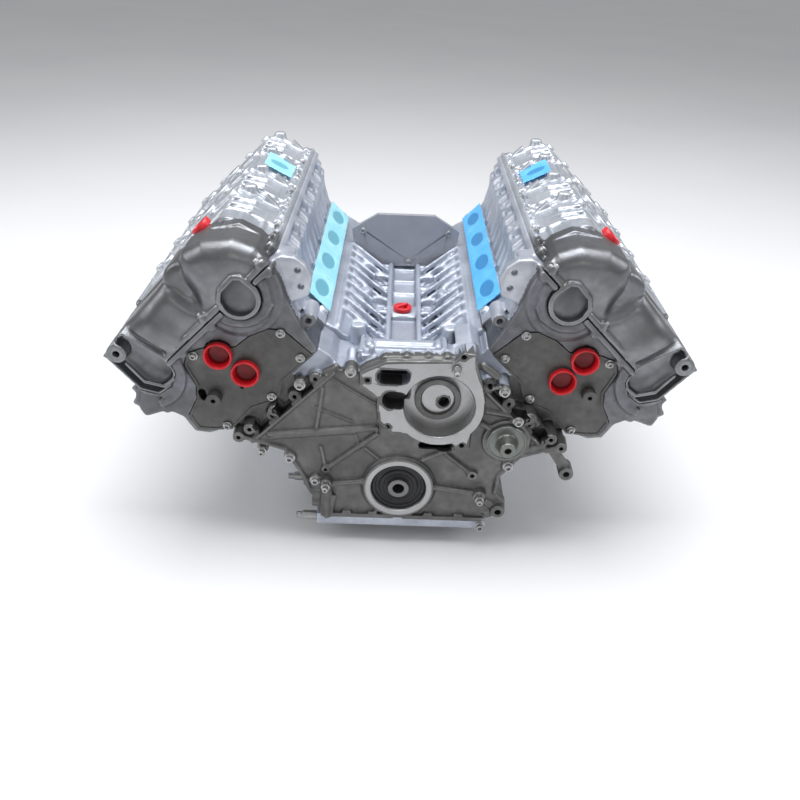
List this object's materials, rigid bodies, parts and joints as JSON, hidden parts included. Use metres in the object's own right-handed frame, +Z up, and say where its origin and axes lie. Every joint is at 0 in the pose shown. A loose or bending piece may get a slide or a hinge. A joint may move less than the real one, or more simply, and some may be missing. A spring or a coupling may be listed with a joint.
{
  "type": "v8 engine",
  "caption": "Complete ninety-degree V engine with cast block, heads, cam covers, timing case and a turning crank train, capped and taped for transport.",
  "frame": {"origin": "crankshaft axis at the front face of the crank nose", "axes": "+Z up, +Y along the crankshaft towards the flywheel, +X to the right seen from the front"},
  "size_m": [0.7468, 0.568, 0.4464],
  "materials": {
    "cast_aluminium": "fine sand-cast and shot-blasted, satin",
    "cover_aluminium": "die-cast, satin grey",
    "plate_aluminium": "milled and washed, matt",
    "pan_aluminium": "die-cast",
    "piston_aluminium": "turned",
    "cast_iron": "machined",
    "machined_steel": "ground and turned",
    "bearing_steel": "lined shell",
    "bolt_steel": "zinc plated",
    "spring_steel": "shot-peened",
    "chain_steel": "oiled",
    "gasket_steel": "coated sheet",
    "guide_plastic": "nylon",
    "black_rubber": "moulded, matt",
    "red_plastic": "moulded transport plug",
    "blue_tape": "masking film"
  },
  "bodies": {
    "engine": {"cylinder_block": "cast_aluminium", "lower_crankcase": "cast_aluminium", "oil_pan": "pan_aluminium", "main_bearing_caps": "cast_iron", "main_bearing_shells": "bearing_steel", "cylinder_head_left": "cast_aluminium", "cylinder_head_right": "cast_aluminium", "head_gaskets": "gasket_steel", "cam_cover_left": "cover_aluminium", "cam_cover_right": "cover_aluminium", "timing_case": "cast_aluminium", "front_plate_left": "plate_aluminium", "front_plate_right": "plate_aluminium", "front_crank_seal": "black_rubber", "rear_seal_carrier": "plate_aluminium", "valley_rear_plate": "plate_aluminium", "masking_tapes": "blue_tape", "actuator_port_plugs": "red_plastic", "oil_port_caps": "red_plastic", "idler_hub": "machined_steel", "case_bolts_and_studs": "bolt_steel", "plate_bolts": "bolt_steel", "cover_bolts": "bolt_steel", "valves": "machined_steel", "valve_springs": "spring_steel", "tappets": "machined_steel", "cam_bearing_caps": "cast_aluminium", "timing_chains": "chain_steel", "chain_guides": "guide_plastic", "oil_pump": "pan_aluminium"},
    "crank": {"crankshaft": "machined_steel", "crank_sprockets": "machined_steel"},
    "web_plug_1": {"web_plug_1": "machined_steel"},
    "web_plug_2": {"web_plug_2": "machined_steel"},
    "web_plug_3": {"web_plug_3": "machined_steel"},
    "web_plug_4": {"web_plug_4": "machined_steel"},
    "piston_1": {"piston_1": "piston_aluminium", "conrod_1": "machined_steel"},
    "piston_2": {"piston_2": "piston_aluminium", "conrod_2": "machined_steel"},
    "piston_3": {"piston_3": "piston_aluminium", "conrod_3": "machined_steel"},
    "piston_4": {"piston_4": "piston_aluminium", "conrod_4": "machined_steel"},
    "piston_5": {"piston_5": "piston_aluminium", "conrod_5": "machined_steel"},
    "piston_6": {"piston_6": "piston_aluminium", "conrod_6": "machined_steel"},
    "piston_7": {"piston_7": "piston_aluminium", "conrod_7": "machined_steel"},
    "piston_8": {"piston_8": "piston_aluminium", "conrod_8": "machined_steel"},
    "cam_exhaust_left": {"camshaft_exhaust_left": "machined_steel", "cam_phaser_exhaust_left": "machined_steel"},
    "cam_intake_left": {"camshaft_intake_left": "machined_steel", "cam_phaser_intake_left": "machined_steel"},
    "cam_exhaust_right": {"camshaft_exhaust_right": "machined_steel", "cam_phaser_exhaust_right": "machined_steel"},
    "cam_intake_right": {"camshaft_intake_right": "machined_steel", "cam_phaser_intake_right": "machined_steel"}
  },
  "joints": [
    {"name": "crank_spin", "type": "hinge", "parent": "engine", "child": "crank", "pos_m": [0, 0.3, 0], "axis": [0, 1, 0], "continuous": true, "deforming": ["conrod_1", "conrod_2", "conrod_3", "conrod_4", "conrod_5", "conrod_6", "conrod_7", "conrod_8", "valves", "valve_springs", "tappets", "timing_chains"]},
    {"name": "web_plug_1_roll", "type": "hinge", "parent": "crank", "child": "web_plug_1", "pos_m": [0, 0.13555, 0.02208], "axis": [0, 1, 0], "continuous": true},
    {"name": "web_plug_2_roll", "type": "hinge", "parent": "crank", "child": "web_plug_2", "pos_m": [0.02208, 0.23355, 0], "axis": [0, 1, 0], "continuous": true},
    {"name": "web_plug_3_roll", "type": "hinge", "parent": "crank", "child": "web_plug_3", "pos_m": [-0.02208, 0.33155, 0], "axis": [0, 1, 0], "continuous": true},
    {"name": "web_plug_4_roll", "type": "hinge", "parent": "crank", "child": "web_plug_4", "pos_m": [0, 0.42955, -0.02208], "axis": [0, 1, 0], "continuous": true},
    {"name": "piston_1_travel", "type": "hinge", "parent": "web_plug_1", "child": "piston_1", "pos_m": [0.02208, 0.1724, 0.02208], "axis": [0, 1, 0], "continuous": true},
    {"name": "piston_2_travel", "type": "hinge", "parent": "web_plug_2", "child": "piston_2", "pos_m": [0.02208, 0.2704, 0.02208], "axis": [0, 1, 0], "continuous": true},
    {"name": "piston_3_travel", "type": "hinge", "parent": "web_plug_3", "child": "piston_3", "pos_m": [-0.02208, 0.3684, -0.02208], "axis": [0, 1, 0], "continuous": true},
    {"name": "piston_4_travel", "type": "hinge", "parent": "web_plug_4", "child": "piston_4", "pos_m": [-0.02208, 0.4664, -0.02208], "axis": [0, 1, 0], "continuous": true},
    {"name": "piston_5_travel", "type": "hinge", "parent": "web_plug_1", "child": "piston_5", "pos_m": [-0.02208, 0.1547, 0.02208], "axis": [0, 1, 0], "continuous": true},
    {"name": "piston_6_travel", "type": "hinge", "parent": "web_plug_2", "child": "piston_6", "pos_m": [0.02208, 0.2527, -0.02208], "axis": [0, 1, 0], "continuous": true},
    {"name": "piston_7_travel", "type": "hinge", "parent": "web_plug_3", "child": "piston_7", "pos_m": [-0.02208, 0.3507, 0.02208], "axis": [0, 1, 0], "continuous": true},
    {"name": "piston_8_travel", "type": "hinge", "parent": "web_plug_4", "child": "piston_8", "pos_m": [0.02208, 0.4487, -0.02208], "axis": [0, 1, 0], "continuous": true},
    {"name": "cam_exhaust_left_spin", "type": "hinge", "parent": "engine", "child": "cam_exhaust_left", "pos_m": [-0.20082, 0.3, 0.26163], "axis": [0, 1, 0], "continuous": true},
    {"name": "cam_intake_left_spin", "type": "hinge", "parent": "engine", "child": "cam_intake_left", "pos_m": [-0.26163, 0.3, 0.20082], "axis": [0, 1, 0], "continuous": true},
    {"name": "cam_exhaust_right_spin", "type": "hinge", "parent": "engine", "child": "cam_exhaust_right", "pos_m": [0.20082, 0.3, 0.26163], "axis": [0, 1, 0], "continuous": true},
    {"name": "cam_intake_right_spin", "type": "hinge", "parent": "engine", "child": "cam_intake_right", "pos_m": [0.26163, 0.3, 0.20082], "axis": [0, 1, 0], "continuous": true}
  ],
  "couplings": [
    {"joint": "web_plug_1_roll", "follows": "crank_spin", "ratio": -2},
    {"joint": "web_plug_2_roll", "follows": "crank_spin", "ratio": -2},
    {"joint": "web_plug_3_roll", "follows": "crank_spin", "ratio": -2},
    {"joint": "web_plug_4_roll", "follows": "crank_spin", "ratio": -2},
    {"joint": "piston_1_travel", "follows": "crank_spin", "ratio": 1},
    {"joint": "piston_2_travel", "follows": "crank_spin", "ratio": 1},
    {"joint": "piston_3_travel", "follows": "crank_spin", "ratio": 1},
    {"joint": "piston_4_travel", "follows": "crank_spin", "ratio": 1},
    {"joint": "piston_5_travel", "follows": "crank_spin", "ratio": 1},
    {"joint": "piston_6_travel", "follows": "crank_spin", "ratio": 1},
    {"joint": "piston_7_travel", "follows": "crank_spin", "ratio": 1},
    {"joint": "piston_8_travel", "follows": "crank_spin", "ratio": 1},
    {"joint": "cam_exhaust_left_spin", "follows": "crank_spin", "ratio": 0.5},
    {"joint": "cam_intake_left_spin", "follows": "crank_spin", "ratio": 0.5},
    {"joint": "cam_exhaust_right_spin", "follows": "crank_spin", "ratio": 0.5},
    {"joint": "cam_intake_right_spin", "follows": "crank_spin", "ratio": 0.5}
  ]
}
